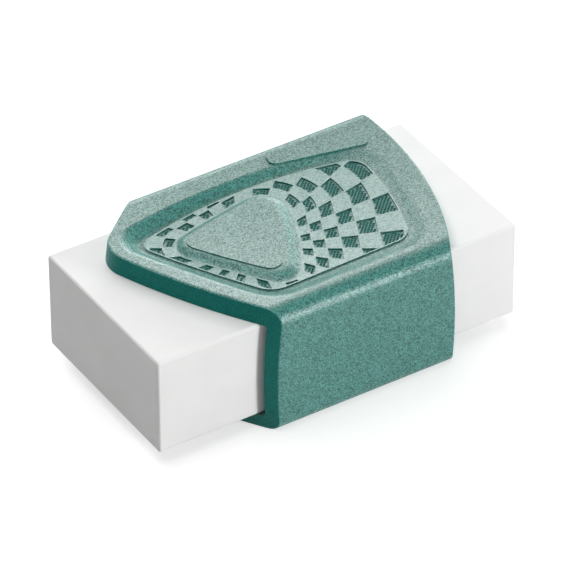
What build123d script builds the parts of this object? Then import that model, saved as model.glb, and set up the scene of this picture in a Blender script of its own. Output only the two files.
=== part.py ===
from build123d import *

import math
import os

# Rubber eraser in a moulded slide-on sleeve.
# Millimetres, +Z up. X runs along the block and Y across it. The origin is on the sleeve's underside,
# below the middle of the block.

# Eraser block
block_length = 48.5
block_width = 24.3
block_height = 12.8
block_long_edge_radius = 0.4
block_end_edge_radius = 0.3

# Room round the block inside the sleeve, on each side of it
side_clearance = 0.8
height_clearance = 0.05

# Sleeve walls and their edges
side_wall = 1.45
bottom_wall = 1.75
top_wall = 2.35
shoulder_radius = 2.1
heel_radius = 1.5
passage_corner_radius = 0.4
lip_radius = 0.3

# Sleeve ends seen from above: how far each corner reaches from the middle along X, and how the ends bow
near_front_reach = 8.1
nose_reach = 19.85
nose_offset = 6.9
nose_radius = 4.0
far_front_reach = 9.8
far_back_reach = 19.4
near_back_reach = 12.75
near_front_bow = 0.9
far_front_bow = 0.15
back_bow = 2.7
lip_bulge = 0.95
heel_tuck = 0.6

# Dish sunk in the sleeve's top, with a floor that tilts up towards the back
dish_depth = 0.75
dish_tilt = 1.2
dish_near_border = 4.55
dish_far_border = 7.95
dish_front_border = 3.5
dish_back_border = 2.6
dish_near_run = 2.4
dish_far_run = 1.6
dish_front_run = 2.2
dish_back_run = 2.0
dish_front_bow = 0.3
dish_far_bow = 2.3
dish_back_bow = 0.8
dish_near_front_radius = 3.5
dish_tip_radius = 1.8
dish_far_back_radius = 2.5
dish_near_back_radius = 2.8

# Grip panel that stands on the floor of the dish
panel_step = 0.15
panel_margin = 0.2

# Thumb pad that rises from the panel
pad_span = 14.0
pad_depth = 14.1
pad_middle_x = -5.4
pad_middle_y = -1.1
pad_corner_shares = ((-0.49, 0.32), (0.5, 0.5), (0.03, -0.5))
pad_far_bow = 0.35
pad_back_bow = 0.8
pad_front_bow = 0.25
pad_corner_radius = 1.6
pad_height = 0.55
pad_far_run = 1.1
pad_back_run = 1.8
pad_front_run = 0.9
plateau_step = 0.12
plateau_margin = 0.25

# Checks sunk in the panel, in rings that widen with their distance from the pad
check_depth = 0.2
check_gap = 0.16
check_margin = 0.16
check_first_row = 1.3
check_growth_share = 0.17
check_rows = 7
check_spokes = 32
check_smallest_share = 0.14

# Bare name plate on the far border
plate_length = 12.4
plate_width = 2.5
plate_corner_radius = 0.9
plate_step = 0.2
plate_middle_x = 11.1
plate_far_inset = 4.35
plate_turn = -11.9

# Length by which a cutting shape passes the faces that it cuts
overrun = 1.0

# Share of the run and share of the rise at each level of a soft S-shaped slope
slope_run_shares = (0.0, 0.25, 0.5, 0.75, 1.0)
slope_rise_shares = (0.0, 0.16, 0.5, 0.84, 1.0)

# Worked out from the sizes above
passage_width = block_width + 2 * side_clearance
passage_height = block_height + 2 * height_clearance
sleeve_width = passage_width + 2 * side_wall
sleeve_height = bottom_wall + passage_height + top_wall
half_width = sleeve_width / 2
dish_floor = sleeve_height - dish_depth
panel_top = dish_floor + panel_step
pad_top = panel_top + pad_height


def grown(corners, distances):
    """Corners of a clockwise outline with each side moved outwards by its own distance."""
    points = [Vector(*corner) for corner in corners]
    sides = [(after - here).normalized() for here, after in zip(points, points[1:] + points[:1])]
    moved = []
    for index, point in enumerate(points):
        before, after = sides[index - 1], sides[index]
        slide = after * distances[index - 1] - before * distances[index]
        out = point + slide * (1 / before.cross(after).Z)
        moved.append((out.X, out.Y))
    return moved


def level(height, tilt=0):
    """The plane at one height above the origin, tilted up towards +X by an angle."""
    return Plane.XY.offset(height).rotated((0, -tilt, 0))


def outline(plane, corners, bows, radii):
    """Flat face on a plane: sides bowed outwards, going clockwise, and rounded corners."""
    with BuildSketch(plane) as face:
        with BuildLine():
            for index, (corner, bow) in enumerate(zip(corners, bows)):
                following = corners[(index + 1) % len(corners)]
                if bow:
                    SagittaArc(corner, following, bow)
                else:
                    Line(corner, following)
        make_face()
        for corner, radius in zip(corners, radii):
            if radius:
                fillet(face.vertices().sort_by_distance(corner)[0], radius)
    return face.sketch


def between(start, end, y):
    """X on the straight line from start to end, at a given Y."""
    return start[0] + (end[0] - start[0]) * (y - start[1]) / (end[1] - start[1])


# Corners of the sleeve's plan, clockwise from the near end of the front lip
plan_near = -(half_width + overrun)
plan_far = half_width + overrun
plan_corners = (
    (-near_front_reach, plan_near),
    (-nose_reach, nose_offset),
    (-far_front_reach, plan_far),
    (far_back_reach, plan_far),
    (near_back_reach, plan_near),
)
plan_bows = (near_front_bow, far_front_bow, 0, back_bow, 0)
plan_radii = (0, nose_radius, 0, 0, 0)

# Corners of the dish floor, which keeps a border to each side of the plan
dish_near = -(half_width - dish_near_border)
dish_far = half_width - dish_far_border
dish_corners = (
    (between(plan_corners[0], plan_corners[1], dish_near) + dish_front_border, dish_near),
    (between(plan_corners[0], plan_corners[1], dish_far) + dish_front_border, dish_far),
    (between(plan_corners[3], plan_corners[4], dish_far) - dish_back_border, dish_far),
    (between(plan_corners[3], plan_corners[4], dish_near) - dish_back_border, dish_near),
)
dish_bows = (dish_front_bow, dish_far_bow, dish_back_bow, 0)
dish_runs = (dish_front_run, dish_far_run, dish_back_run, dish_near_run)
dish_radii = (dish_near_front_radius, dish_tip_radius, dish_far_back_radius, dish_near_back_radius)

# Corners of the thumb pad's upper edge, clockwise from its front tip
pad_corners = [(pad_middle_x + pad_span * x, pad_middle_y + pad_depth * y) for x, y in pad_corner_shares]
pad_bows = (pad_far_bow, pad_back_bow, pad_front_bow)
pad_runs = (pad_far_run, pad_back_run, pad_front_run)


def plan_face(height, bulge):
    """The sleeve's plan at one height, with the ends swollen by a bulge."""
    swollen = [(x + math.copysign(bulge, x), y) for x, y in plan_corners]
    return outline(level(height), swollen, plan_bows, plan_radii)


def dish_face(plane, run_share, inset=0):
    """The dish's outline on a plane, from the edge of its floor (share 0) to its rim (share 1)."""
    moves = [run * run_share - inset for run in dish_runs]
    radii = [radius + move for radius, move in zip(dish_radii, moves)]
    return outline(plane, grown(dish_corners, moves), dish_bows, radii)


def pad_face(plane, run_share, outset=0):
    """The thumb pad's outline on a plane, from its upper edge (share 0) to its foot (share 1)."""
    moves = [run * run_share + outset for run in pad_runs]
    radii = [pad_corner_radius + move for move in moves]
    return outline(plane, grown(pad_corners, moves), pad_bows, radii)


def check_row(inner, outer, first_spoke):
    """Every other check of one row, between two outlines that run round the pad at a distance."""
    step = 360 / check_spokes
    gap_angle = math.degrees(check_gap / (pad_span / 2 + inner))
    reach = sleeve_width
    with BuildSketch() as star:
        with Locations((pad_middle_x, pad_middle_y)):
            for spoke in range(first_spoke, check_spokes, 2):
                start, end = math.radians(spoke * step), math.radians((spoke + 1) * step - gap_angle)
                edge_in = (reach * math.cos(start), reach * math.sin(start))
                edge_out = (reach * math.cos(end), reach * math.sin(end))
                Polygon((0, 0), edge_in, edge_out, align=None)
    with BuildSketch() as row:
        add(pad_face(Plane.XY, 1, outer - check_gap / 2))
        add(pad_face(Plane.XY, 1, inner + check_gap / 2), mode=Mode.SUBTRACT)
        add(star.sketch, mode=Mode.INTERSECT)
    return row.faces()


def check_faces():
    """The checks of the grip panel, trimmed by the panel's edge and lying a step above it."""
    rows = []
    inner, width = check_margin, check_first_row
    for row in range(check_rows):
        rows.extend(check_row(inner, inner + width, row % 2))
        inner += width
        width *= 1 + check_growth_share
    with BuildSketch(level(panel_top + panel_step, dish_tilt)) as checks:
        add(rows)
        add(dish_face(Plane.XY, 0, panel_margin + check_margin), mode=Mode.INTERSECT)
    middle = Vector(pad_middle_x, pad_middle_y, panel_top + panel_step)
    kept = []
    for face in checks.sketch.faces():
        spread = (face.center() - middle).length / (pad_span / 2)
        usual_area = check_first_row * spread * math.pi * pad_span / check_spokes * spread
        if face.area > check_smallest_share * usual_area:
            kept.append(face)
    return kept


# Eraser block: a plain bar with lightly rounded edges
with BuildPart() as eraser_block:
    with BuildSketch(Plane.YZ) as block_section:
        with Locations((0, bottom_wall + passage_height / 2)):
            RectangleRounded(block_width, block_height, block_long_edge_radius)
    extrude(amount=block_length / 2, both=True)
    fillet(eraser_block.faces().filter_by(Axis.X).edges(), block_end_edge_radius)
eraser_block.part.label = "eraser_block"

# Sleeve: a rounded tube along X, trimmed to its plan, then dished and decorated on top
with BuildPart() as sleeve:
    with BuildSketch(Plane.YZ) as sleeve_section:
        with Locations((0, sleeve_height / 2)):
            Rectangle(sleeve_width, sleeve_height)
        fillet(sleeve_section.vertices().group_by(Axis.Y)[-1], shoulder_radius)
        fillet(sleeve_section.vertices().group_by(Axis.Y)[0], heel_radius)
    extrude(amount=block_length, both=True)
    loft(
        [
            plan_face(-overrun, -heel_tuck),
            plan_face(sleeve_height / 2, lip_bulge),
            plan_face(sleeve_height + overrun, 0),
        ],
        mode=Mode.INTERSECT,
    )
    across = sleeve.edges().filter_by(Axis.X, reverse=True)
    lips = across.filter_by(lambda edge: edge.bounding_box().size.Z < sleeve_height - heel_radius)
    fillet(lips, lip_radius)
    with BuildSketch(Plane.YZ) as passage:
        with Locations((0, bottom_wall + passage_height / 2)):
            RectangleRounded(passage_width, passage_height, passage_corner_radius)
    extrude(amount=block_length, both=True, mode=Mode.SUBTRACT)
    loft(
        [
            dish_face(level(dish_floor + dish_depth * rise, dish_tilt * (1 - rise)), run)
            for run, rise in zip(slope_run_shares, slope_rise_shares)
        ],
        mode=Mode.SUBTRACT,
    )
    panel_foot = dish_face(level(dish_floor - panel_step, dish_tilt), 0, panel_margin)
    extrude(panel_foot, amount=2 * panel_step, dir=(0, 0, 1))
    extrude(check_faces(), amount=-(panel_step + check_depth), dir=(0, 0, 1), mode=Mode.SUBTRACT)
    loft(
        [
            pad_face(level(panel_top + pad_height * rise, dish_tilt), 1 - run)
            for run, rise in zip(slope_run_shares, slope_rise_shares)
        ]
    )
    extrude(pad_face(level(pad_top - plateau_step, dish_tilt), 0, -plateau_margin), amount=2 * plateau_step)
    with BuildSketch(Plane.XY.offset(sleeve_height - plate_step)) as plate:
        with Locations(Location((plate_middle_x, half_width - plate_far_inset), plate_turn)):
            RectangleRounded(plate_length, plate_width, plate_corner_radius)
    extrude(amount=2 * plate_step)
sleeve.part.label = "sleeve"

os.makedirs("parts", exist_ok=True)
export_step(eraser_block.part, "parts/eraser_block.step")
export_step(sleeve.part, "parts/sleeve.step")
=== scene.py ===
import math

import bmesh
import bpy
from mathutils import Matrix, Vector


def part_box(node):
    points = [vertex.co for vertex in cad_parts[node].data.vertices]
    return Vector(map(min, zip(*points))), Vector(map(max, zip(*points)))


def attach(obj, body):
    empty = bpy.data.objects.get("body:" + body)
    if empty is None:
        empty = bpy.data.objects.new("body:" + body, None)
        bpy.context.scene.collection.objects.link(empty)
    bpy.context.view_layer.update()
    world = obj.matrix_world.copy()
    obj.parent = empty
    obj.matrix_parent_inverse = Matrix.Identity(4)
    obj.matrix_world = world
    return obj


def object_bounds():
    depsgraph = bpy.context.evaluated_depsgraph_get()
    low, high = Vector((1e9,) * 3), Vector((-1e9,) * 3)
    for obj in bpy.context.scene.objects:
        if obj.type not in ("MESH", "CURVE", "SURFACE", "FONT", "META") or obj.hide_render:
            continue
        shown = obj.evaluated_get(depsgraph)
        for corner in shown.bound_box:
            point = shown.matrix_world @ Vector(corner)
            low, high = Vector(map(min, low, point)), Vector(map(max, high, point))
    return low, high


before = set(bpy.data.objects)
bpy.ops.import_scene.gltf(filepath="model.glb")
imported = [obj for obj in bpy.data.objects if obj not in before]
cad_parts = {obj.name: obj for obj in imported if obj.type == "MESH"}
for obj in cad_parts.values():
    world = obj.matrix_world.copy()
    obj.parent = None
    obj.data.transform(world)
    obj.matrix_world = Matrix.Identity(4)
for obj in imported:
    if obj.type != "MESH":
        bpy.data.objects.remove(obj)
cad_low, cad_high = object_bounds()
scene = bpy.context.scene
scene.view_settings.view_transform = "Standard"

# Metres in a millimetre
MM = 0.001

# Camera, as fitted to the corners of the block in the photograph
view_azimuth = -32.24
view_elevation = 37.09
view_roll = -0.31
view_distance = 614.3 * MM
view_width = 65.26 * MM
aim_left = 0.115 * MM
aim_up = 0.148 * MM
aim_height = 8.3 * MM
sensor_width = 36.0

# Lamps: azimuth, elevation, width, height and brightness beside white
lamp_distance = 1000 * MM
lamps = {
    "back_panel": (138, 14, 440 * MM, 380 * MM, 6.5),
    "window_panel": (168, 38, 620 * MM, 500 * MM, 3.5),
    "right_panel": (32, 10, 220 * MM, 330 * MM, 27.5),
    "top_panel": (-120, 76, 800 * MM, 800 * MM, 2.3),
}

# Room: its light from the left wall, the right wall and the ceiling
room_left = 0.06
room_right = 0.2
room_ceiling = 0.2

# Backdrop: upward share of the sight line where it starts to dim and where it is the ceiling, and the ceiling's level
backdrop_top = 0.25
ceiling_start = 0.8
ceiling_level = 0.4

# Floor: half its width, the glow that is seen on it, and the distances over which it goes to white
floor_reach = 3000 * MM
floor_roughness = 0.9
floor_glow = 0.6
shadow_reach = 45 * MM
white_reach = 120 * MM
floor_white = (0.60, 0.60, 0.60, 1)
pure_white = (1, 1, 1, 1)

# Sunk checks of the grip panel: height of their floor over the origin, depth, and rise towards +X in degrees
check_floor = 16.2 * MM
check_depth = 0.2 * MM
dish_tilt = 1.2
check_rise = math.tan(math.radians(dish_tilt))

# Rise of the sleeve's faintly hollow top, for each square metre of the distance from its middle
hollow_rise = 3.0

# Knurl in the sunk checks: four-sided pyramids with blunt tips
knurl_pitch = 0.36 * MM
knurl_width = 0.34 * MM
knurl_height = 0.13 * MM
knurl_sunk = 0.01 * MM
knurl_turn = 45.0
knurl_sides = 4
knurl_tip_share = 0.125

# Colours of the sleeve, in the pits of its grain and on the pebbles between them
sleeve_green_deep = (0.000, 0.062, 0.053, 1)
sleeve_green_pale = (0.060, 0.328, 0.279, 1)
# Painted sheen: greyer, paler greens that the level top is mixed towards, for the light reflected there
top_sheen_green_deep = (0.008, 0.080, 0.068, 1)
top_sheen_green_pale = (0.120, 0.290, 0.248, 1)
# Painted shade: deeper greens for the lips, the sleeve's end faces
lip_shade_green_deep = (0.000, 0.110, 0.094, 1)
lip_shade_green_pale = (0.000, 0.205, 0.174, 1)
# Painted sheen: pale green for the level lands between the checks
land_sheen_green = (0.240, 0.390, 0.360, 1)
pit_gloss = (0.46, 0.52, 0.51, 1)
pebble_gloss = (1.0, 1.0, 1.0, 1)
# Painted shade: dark green gloss tint that dulls the lips' reflection
lip_shade_gloss = (0.05, 0.2, 0.18, 1)

# Grain of the sleeve: cells to the metre, height and roughness
grain_scale = 8200.0
pebble_height = 0.02 * MM
pit_roughness = 0.46
pebble_roughness = 0.30
sleeve_ior = 1.57
sleeve_gloss_level = 1.0

# Where the sleeve's painted sheen on the level top and the lands, and its painted shade on the lips, begin and are
# whole, by how far a face looks up or along, or by its height
top_sheen_upward = (0.92, 0.995)
land_upward = (0.985, 0.998)
land_height_off = (0.03 * MM, 0.06 * MM)
lip_facing = (0.35, 0.65)
land_share_in_pits = 0.45

# Knurl's finish, whose darker greens are painted shade in the sunk checks; a noise is given as its cells to the
# metre, detail and roughness
# Painted shade: darker greens for the knurl in the sunk checks
knurl_shade_green_deep = (0.002, 0.080, 0.067, 1)
knurl_shade_green_pale = (0.010, 0.185, 0.157, 1)
knurl_noise = (4200.0, 2.0, 0.7)
knurl_noise_span = (0.35, 0.65)
knurl_roughness = (0.75, 0.55)
knurl_gloss_level = 0.5

# Rubber's finish
rubber_shade = (0.89, 0.89, 0.885, 1)
rubber_white = (0.92, 0.92, 0.915, 1)
cloud_noise = (160.0, 4.0, 0.55)
cloud_span = (0.3, 0.7)
powder_noise = (3500.0, 3.0, 0.6)
powder_height = 0.02 * MM
powder_strength = 0.12
rubber_roughness = (0.66, 0.76)
rubber_gloss_level = 0.2
rubber_glow_share = 0.1
rubber_glow_depth = 0.6 * MM
rubber_glow_colours = (1.0, 0.9, 0.8)


def fill(tree, made, **inputs):
    """Set a node's inputs, by name or by number, to a value or a link."""
    for name, value in inputs.items():
        key = int(name[1:]) if name[1:].isdigit() else name.replace("_", " ")
        if isinstance(value, bpy.types.NodeSocket):
            tree.links.new(value, made.inputs[key])
        else:
            made.inputs[key].default_value = value


def node(tree, kind, settings=None, **inputs):
    """A shader node with its settings and inputs."""
    made = tree.nodes.new(kind)
    for name, value in (settings or {}).items():
        setattr(made, name, value)
    fill(tree, made, **inputs)
    return made


def math_node(tree, operation, first, second=0.0):
    """The result of one Math operation."""
    return node(tree, "ShaderNodeMath", {"operation": operation}, i0=first, i1=second).outputs[0]


def ramp(tree, value, span, ends=(0.0, 1.0), soft=True):
    """A number that goes between two ends as a value crosses a span, and stays there beyond it."""
    settings = {"interpolation_type": "SMOOTHSTEP" if soft else "LINEAR"}
    limits = {"From_Min": span[0], "From_Max": span[1], "To_Min": ends[0], "To_Max": ends[1]}
    return node(tree, "ShaderNodeMapRange", settings, Value=value, **limits).outputs[0]


def noise(tree, place, kind):
    """Soft noise of a kind given as its cells to the metre, detail and roughness."""
    scale, detail, roughness = kind
    made = node(tree, "ShaderNodeTexNoise", Vector=place, Scale=scale, Detail=detail, Roughness=roughness)
    return made.outputs[0]


def mix_colour(tree, share, first, second):
    """A colour between two."""
    return node(tree, "ShaderNodeMix", {"data_type": "RGBA"}, i0=share, i6=first, i7=second).outputs[2]


def axes(tree, vector):
    """The three numbers of a vector, by the name of their axis."""
    return node(tree, "ShaderNodeSeparateXYZ", i0=vector).outputs


def new_material(name):
    """An empty node material, its tree and its Principled shader."""
    material = bpy.data.materials.new(name)
    material.use_nodes = True
    tree = material.node_tree
    tree.nodes.clear()
    shader = node(tree, "ShaderNodeBsdfPrincipled")
    node(tree, "ShaderNodeOutputMaterial", Surface=shader.outputs[0])
    return material, tree, shader


def sleeve_plastic():
    """Green moulded plastic with a fine pebbled grain, with painted sheen that makes the level top greyer and the
    lands paler, and painted shade that makes the lips a deeper green with a dulled reflection.
    """
    material, tree, shader = new_material("sleeve_plastic")
    coordinates = node(tree, "ShaderNodeTexCoord").outputs
    place, normal = coordinates["Object"], coordinates["Normal"]
    grain = node(tree, "ShaderNodeTexVoronoi", Vector=place, Scale=grain_scale).outputs
    speck = axes(tree, grain["Color"])["X"]
    walls = mix_colour(tree, speck, sleeve_green_deep, sleeve_green_pale)
    # Painted sheen: the level top is mixed towards greyer, paler greens
    top_sheen = mix_colour(tree, speck, top_sheen_green_deep, top_sheen_green_pale)
    grain_and_top_sheen = mix_colour(tree, level_top(tree, normal, top_sheen_upward), walls, top_sheen)
    # Painted sheen: the lands between the checks are mixed towards pale green, less so in the pits of the grain
    land_sheen_by_grain = ramp(tree, speck, (0.0, 1.0), (land_share_in_pits, 1.0), soft=False)
    lands = math_node(tree, "MULTIPLY", panel_lands(tree, place, normal), land_sheen_by_grain)
    grain_and_painted_sheen = mix_colour(tree, lands, grain_and_top_sheen, land_sheen_green)
    # Painted shade: the lips get deeper greens
    lips = end_faces(tree, normal)
    lip_shade_colour = mix_colour(tree, speck, lip_shade_green_deep, lip_shade_green_pale)
    gloss = mix_colour(tree, speck, pit_gloss, pebble_gloss)
    pebbles = math_node(tree, "SUBTRACT", 1.0, grain["Distance"])
    base = hollow(tree, place)
    bump = node(tree, "ShaderNodeBump", Strength=1.0, Distance=pebble_height, Height=pebbles, Normal=base)
    fill(
        tree,
        shader,
        IOR=sleeve_ior,
        Specular_IOR_Level=sleeve_gloss_level,
        # Painted shade: the gloss tint dulls the lips' reflection, and their base colour is a deeper green
        Specular_Tint=mix_colour(tree, lips, gloss, lip_shade_gloss),
        Base_Color=mix_colour(tree, lips, grain_and_painted_sheen, lip_shade_colour),
        Roughness=ramp(tree, speck, (0.0, 1.0), (pit_roughness, pebble_roughness), soft=False),
        Normal=bump.outputs[0],
    )
    return material


def hollow(tree, place):
    """The normal of a top that is faintly hollow, so that its borders lean in towards the middle."""
    spot = axes(tree, place)
    along = math_node(tree, "POWER", spot["X"], 2.0)
    across = math_node(tree, "POWER", spot["Y"], 2.0)
    height = math_node(tree, "MULTIPLY", math_node(tree, "ADD", along, across), hollow_rise)
    return node(tree, "ShaderNodeBump", Strength=1.0, Distance=1.0, Height=height).outputs[0]


def level_top(tree, normal, upward):
    """1 on the level parts of the top and 0 on slopes and walls."""
    return ramp(tree, axes(tree, normal)["Z"], upward)


def end_faces(tree, normal):
    """1 on the sleeve's lips, which face along it, and 0 on its walls."""
    facing = axes(tree, normal)
    along = ramp(tree, math_node(tree, "ABSOLUTE", facing["X"]), lip_facing)
    upward = ramp(tree, math_node(tree, "ABSOLUTE", facing["Z"]), lip_facing)
    return math_node(tree, "MULTIPLY", along, math_node(tree, "SUBTRACT", 1.0, upward))


def panel_lands(tree, place, normal):
    """1 on the level lands between the checks and 0 elsewhere."""
    spot = axes(tree, place)
    rise = math_node(tree, "MULTIPLY", spot["X"], check_rise)
    over = math_node(tree, "SUBTRACT", math_node(tree, "SUBTRACT", spot["Z"], rise), check_floor + check_depth)
    off = ramp(tree, math_node(tree, "ABSOLUTE", over), land_height_off)
    level = level_top(tree, normal, land_upward)
    return math_node(tree, "MULTIPLY", level, math_node(tree, "SUBTRACT", 1.0, off))


def shaded_knurl_plastic():
    """The sleeve's plastic on the knurl, painted a deeper green than the walls as shade in the sunk checks, and
    duller than the walls.
    """
    material, tree, shader = new_material("shaded_knurl_plastic")
    place = node(tree, "ShaderNodeTexCoord").outputs["Object"]
    grain = noise(tree, place, knurl_noise)
    speck = ramp(tree, grain, knurl_noise_span)
    fill(
        tree,
        shader,
        Specular_IOR_Level=knurl_gloss_level,
        # Painted shade: the knurl's darker greens
        Base_Color=mix_colour(tree, speck, knurl_shade_green_deep, knurl_shade_green_pale),
        Roughness=ramp(tree, grain, knurl_noise_span, knurl_roughness, soft=False),
    )
    return material


def eraser_rubber():
    """White vinyl rubber with a faintly uneven, powdery surface."""
    material, tree, shader = new_material("eraser_rubber")
    place = node(tree, "ShaderNodeTexCoord").outputs["Object"]
    powder = noise(tree, place, powder_noise)
    cloud = noise(tree, place, cloud_noise)
    bump = node(tree, "ShaderNodeBump", Strength=powder_strength, Distance=powder_height, Height=powder)
    fill(
        tree,
        shader,
        Specular_IOR_Level=rubber_gloss_level,
        Subsurface_Weight=rubber_glow_share,
        Subsurface_Radius=rubber_glow_colours,
        Subsurface_Scale=rubber_glow_depth,
        Base_Color=mix_colour(tree, ramp(tree, cloud, cloud_span), rubber_shade, rubber_white),
        Roughness=ramp(tree, cloud, cloud_span, rubber_roughness, soft=False),
        Normal=bump.outputs[0],
    )
    return material


def plain_sight(tree):
    """1 for what the camera sees, itself or in a reflection, and 0 for what only gives light."""
    path = node(tree, "ShaderNodeLightPath").outputs
    seen = math_node(tree, "MAXIMUM", path["Is Camera Ray"], path["Is Glossy Ray"])
    return math_node(tree, "MAXIMUM", seen, path["Is Transmission Ray"])


def mix_shader(tree, share, first, second):
    """A shader between two."""
    return node(tree, "ShaderNodeMixShader", i0=share, i1=first, i2=second).outputs[0]


def studio_floor():
    """Pale floor that keeps the object's soft shadow and goes to white further out."""
    material, tree, shader = new_material("studio_floor")
    fill(tree, shader, Base_Color=floor_white, Roughness=floor_roughness, Specular_IOR_Level=0.0)
    lit = shader.outputs[0]
    place = node(tree, "ShaderNodeTexCoord").outputs["Object"]
    away = node(tree, "ShaderNodeVectorMath", {"operation": "LENGTH"}, i0=place).outputs["Value"]
    white = node(tree, "ShaderNodeEmission", Color=pure_white, Strength=1.0).outputs[0]
    glow = node(tree, "ShaderNodeEmission", Color=pure_white, Strength=floor_glow).outputs[0]
    glowing = node(tree, "ShaderNodeAddShader", i0=lit, i1=glow).outputs[0]
    seen = mix_shader(tree, ramp(tree, away, (shadow_reach, white_reach)), glowing, white)
    shown = mix_shader(tree, plain_sight(tree), lit, seen)
    fill(tree, tree.nodes["Material Output"], Surface=shown)
    return material


def make_floor():
    """The plain floor under the sleeve."""
    mesh = bpy.data.meshes.new("studio_floor")
    made = bmesh.new()
    bmesh.ops.create_grid(made, x_segments=1, y_segments=1, size=floor_reach)
    made.to_mesh(mesh)
    made.free()
    floor = bpy.data.objects.new("studio_floor", mesh)
    scene.collection.objects.link(floor)
    mesh.materials.append(studio_floor())


def make_knurl(sleeve):
    """Fine pyramids that stand on the floors of the sunk checks."""
    made = bmesh.new()
    low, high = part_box("sleeve")
    turn = Matrix.Rotation(math.radians(knurl_turn), 4, "Z")
    square = turn @ Matrix.Rotation(math.pi / knurl_sides, 4, "Z")
    reach = math.ceil((high - low).length / 2 / knurl_pitch)
    corner_reach = knurl_width / 2
    for row in range(-reach, reach + 1):
        for column in range(-reach, reach + 1):
            spot = turn @ Vector((column * knurl_pitch, row * knurl_pitch, 0))
            corners = [
                spot + turn @ Vector((corner_reach * x, corner_reach * y, 0))
                for x in (-1, 1)
                for y in (-1, 1)
            ]
            if not all(on_check_floor(sleeve, corner, high.z) for corner in corners):
                continue
            spot.z = check_floor_at(spot) - knurl_sunk + knurl_height / 2
            bmesh.ops.create_cone(
                made,
                cap_ends=True,
                segments=knurl_sides,
                radius1=knurl_width / math.sqrt(2),
                radius2=knurl_width * knurl_tip_share,
                depth=knurl_height,
                matrix=Matrix.Translation(spot) @ square,
            )
    mesh = bpy.data.meshes.new("grip_knurl")
    made.to_mesh(mesh)
    made.free()
    knurl = bpy.data.objects.new("grip_knurl", mesh)
    scene.collection.objects.link(knurl)
    return knurl


def check_floor_at(spot):
    """Height of the sunk checks' tilted floor at a spot in plan."""
    return check_floor + spot.x * check_rise


def on_check_floor(sleeve, spot, top):
    """Whether a spot in plan lies over the floor of a sunk check."""
    start = Vector((spot.x, spot.y, top + MM))
    hit, place, normal, index = sleeve.ray_cast(start, Vector((0, 0, -1)))
    return hit and abs(place.z - check_floor_at(spot)) < knurl_sunk


def make_world():
    """A room of soft light, darker to the left, that is seen as a white backdrop under a dimmer ceiling."""
    world = bpy.data.worlds.new("studio_room")
    scene.world = world
    world.use_nodes = True
    tree = world.node_tree
    tree.nodes.clear()
    sight = axes(tree, node(tree, "ShaderNodeTexCoord").outputs["Generated"])
    upward = math_node(tree, "MAXIMUM", sight["Z"], 0.0)
    walls = ramp(tree, sight["X"], (-1.0, 1.0), (room_left, room_right), soft=False)
    ceiling = math_node(tree, "MULTIPLY", math_node(tree, "POWER", upward, 2.0), room_ceiling)
    level = math_node(tree, "ADD", walls, ceiling)
    room = node(tree, "ShaderNodeBackground", Color=pure_white, Strength=level).outputs[0]
    dim = ramp(tree, upward, (backdrop_top, ceiling_start), (1.0, ceiling_level))
    backdrop = node(tree, "ShaderNodeBackground", Color=pure_white, Strength=dim).outputs[0]
    node(tree, "ShaderNodeOutputWorld", Surface=mix_shader(tree, plain_sight(tree), room, backdrop))


def make_lamp(name, azimuth, elevation, width, height, level):
    """A soft rectangular lamp that looks at the object."""
    lamp = bpy.data.lights.new(name, "AREA")
    lamp.shape = "RECTANGLE"
    lamp.size = width
    lamp.size_y = height
    lamp.energy = level * math.pi * width * height
    made = bpy.data.objects.new(name, lamp)
    scene.collection.objects.link(made)
    back = direction_from(azimuth, elevation)
    made.location = Vector((0, 0, cad_high.z / 2)) + back * lamp_distance
    made.rotation_mode = "QUATERNION"
    made.rotation_quaternion = (-back).to_track_quat("-Z", "Y")


def direction_from(azimuth, elevation):
    """Unit vector from the object towards a viewer; azimuth 0 stands in front, on the -Y side."""
    a, e = math.radians(azimuth), math.radians(elevation)
    return Vector((math.sin(a) * math.cos(e), -math.cos(a) * math.cos(e), math.sin(e)))


def make_camera():
    """The camera where the photograph was taken from."""
    back = direction_from(view_azimuth, view_elevation)
    turn = (-back).to_track_quat("-Z", "Y").to_matrix()
    right, up = turn.col[0], turn.col[1]
    data = bpy.data.cameras.new("photo_camera")
    data.sensor_width = sensor_width
    data.lens = sensor_width * view_distance / view_width
    camera = bpy.data.objects.new("photo_camera", data)
    scene.collection.objects.link(camera)
    camera.location = Vector((0, 0, aim_height)) + back * view_distance - right * aim_left + up * aim_up
    camera.rotation_mode = "QUATERNION"
    roll = Matrix.Rotation(math.radians(view_roll), 3, back)
    camera.rotation_quaternion = (roll @ turn).to_quaternion()
    scene.camera = camera


def dress(piece, material):
    """Give a piece its one material."""
    piece.data.materials.clear()
    piece.data.materials.append(material)


make_camera()
make_world()
make_floor()
for lamp_name, lamp_setting in lamps.items():
    make_lamp(lamp_name, *lamp_setting)

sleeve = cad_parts["sleeve"]
dress(sleeve, sleeve_plastic())
dress(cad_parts["eraser_block"], eraser_rubber())

knurl = make_knurl(sleeve)
dress(knurl, shaded_knurl_plastic())
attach(knurl, "sleeve")
